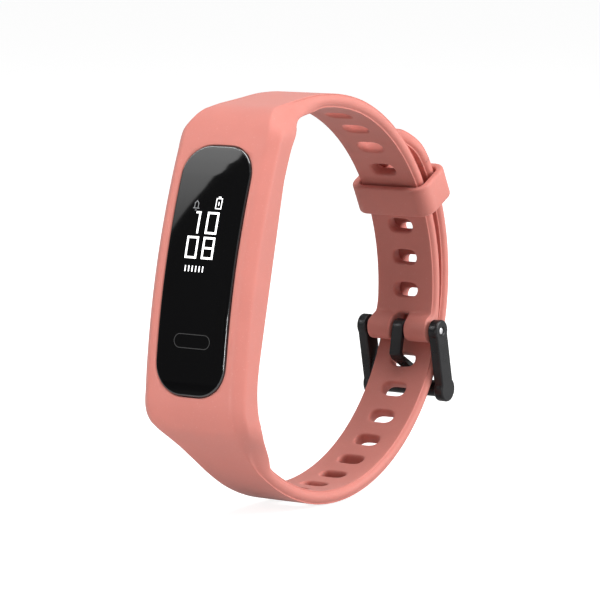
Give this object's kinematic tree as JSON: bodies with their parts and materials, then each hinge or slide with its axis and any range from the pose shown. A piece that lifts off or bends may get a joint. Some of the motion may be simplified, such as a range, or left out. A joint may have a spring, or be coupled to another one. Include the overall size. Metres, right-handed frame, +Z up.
{
  "type": "wrist activity tracker",
  "caption": "Slim wrist activity tracker: a glass-fronted core in a silicone band, fastened by a pin buckle and a sliding keeper.",
  "frame": {"origin": "centre of the wrist opening, on the axis of the arc that the tail strap follows, midway across the strap's width", "axes": "+X along the wrist, -Y towards the viewer (the display faces -Y and leans back 13.5 degrees), +Z up"},
  "size_m": [0.018, 0.063, 0.0623],
  "materials": {
    "silicone": "matte",
    "buckle_metal": "satin",
    "pin_steel": "satin",
    "dark_glass": "polished",
    "black_plastic": "satin",
    "seal_rubber": "matte",
    "clear_bond": "clear",
    "display": "polished",
    "ribbon": "satin",
    "foam": "matte",
    "board": "satin",
    "chip": "matte",
    "tin": "satin",
    "gold": "polished",
    "cell_foil": "satin",
    "weight_metal": "matte"
  },
  "bodies": {
    "strap": {"wrist_strap": "silicone"},
    "keeper": {"strap_keeper": "silicone"},
    "buckle": {"buckle_frame": "buckle_metal", "buckle_pin": "pin_steel"},
    "tongue": {"buckle_tongue": "buckle_metal"},
    "core": {"cover_glass": "dark_glass", "glass_bond": "seal_rubber", "front_housing": "black_plastic", "back_cover": "black_plastic", "housing_seal": "seal_rubber", "display_panel": "display", "display_bond": "clear_bond", "display_flex": "ribbon", "touch_electrode": "ribbon", "touch_spacer": "foam", "main_board": "board", "processor_chip": "chip", "memory_chip": "chip", "motion_sensor": "chip", "radio_shield": "tin", "antenna_strip": "gold", "board_parts": "chip", "upper_screw": "tin", "lower_screw": "tin", "battery_cell": "cell_foil", "battery_board": "board", "battery_pad": "foam", "motor_case": "tin", "motor_shaft": "pin_steel", "left_contact": "gold", "right_contact": "gold", "left_contact_spring": "gold", "right_contact_spring": "gold"},
    "rotor": {"motor_weight": "weight_metal"}
  },
  "joints": [
    {"name": "core_release", "type": "slide", "parent": "strap", "child": "core", "axis": [0, 0.9724, -0.2334], "range_m": [0, 0.015]},
    {"name": "keeper_slide", "type": "hinge", "parent": "strap", "child": "keeper", "pos_m": [0, 0, 0], "axis": [1, 0, 0], "range_deg": [-6, 6]},
    {"name": "buckle_pivot", "type": "hinge", "parent": "strap", "child": "buckle", "pos_m": [0, 0.02644, -0.00859], "axis": [1, 0, 0], "range_deg": [-1, 5]},
    {"name": "tongue_pivot", "type": "hinge", "parent": "buckle", "child": "tongue", "pos_m": [0, 0.02644, -0.00859], "axis": [1, 0, 0], "range_deg": [0, 5]},
    {"name": "motor_spin", "type": "hinge", "parent": "core", "child": "rotor", "pos_m": [0, -0.02427, -0.00384], "axis": [0, 0.9724, -0.2334], "continuous": true}
  ]
}
